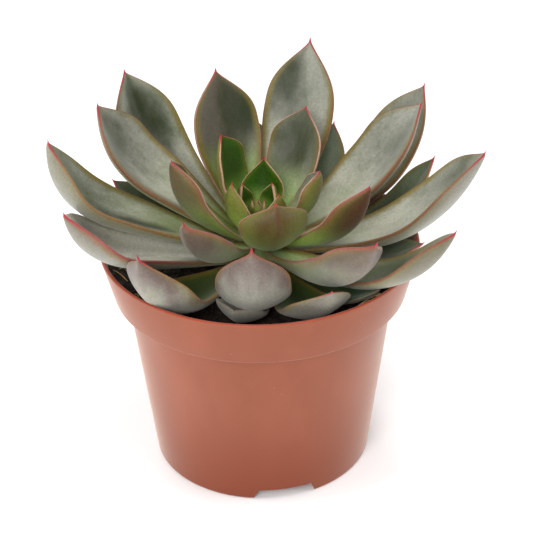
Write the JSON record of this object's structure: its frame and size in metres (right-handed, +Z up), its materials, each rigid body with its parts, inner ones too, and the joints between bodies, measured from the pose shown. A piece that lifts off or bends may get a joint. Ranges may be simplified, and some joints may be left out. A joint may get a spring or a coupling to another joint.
{
  "type": "potted echeveria",
  "caption": "Rosette succulent with sharp-tipped, spoon-shaped grey-green leaves, growing in peat in a tapering terracotta-coloured plastic nursery pot.",
  "frame": {"origin": "on the pot's axis, in the plane that the pot stands on", "axes": "+Z up along the pot's axis, +Y away from the picture's viewer, +X to the viewer's right"},
  "size_m": [0.138, 0.1084, 0.132],
  "materials": {
    "terracotta_plastic": "satin moulded plastic",
    "peat": "rough, nearly black peat with straw fibres",
    "stem_green": "smooth green plant stem",
    "bud_green": "smooth fresh green leaf",
    "leaf_green": "smooth grey-green leaf with a pale waxy bloom"
  },
  "bodies": {
    "root": {"pot": "terracotta_plastic", "soil": "peat", "stem": "stem_green", "leaf_01": "bud_green", "leaf_02": "bud_green", "leaf_03": "bud_green", "leaf_04": "bud_green", "leaf_05": "bud_green", "leaf_06": "leaf_green", "leaf_07": "leaf_green", "leaf_08": "leaf_green", "leaf_09": "leaf_green", "leaf_10": "leaf_green", "leaf_11": "leaf_green", "leaf_12": "leaf_green", "leaf_13": "leaf_green", "leaf_14": "leaf_green", "leaf_15": "leaf_green", "leaf_16": "leaf_green", "leaf_17": "leaf_green", "leaf_18": "leaf_green", "leaf_19": "leaf_green", "leaf_20": "leaf_green", "leaf_21": "leaf_green", "leaf_22": "leaf_green", "leaf_23": "leaf_green", "leaf_24": "leaf_green", "leaf_25": "leaf_green", "leaf_26": "leaf_green", "leaf_27": "leaf_green", "leaf_28": "leaf_green", "leaf_29": "leaf_green", "leaf_30": "leaf_green", "leaf_31": "leaf_green", "leaf_32": "leaf_green", "leaf_33": "leaf_green", "leaf_34": "leaf_green", "leaf_35": "leaf_green", "leaf_36": "leaf_green", "leaf_37": "leaf_green", "leaf_38": "leaf_green"}
  },
  "joints": []
}
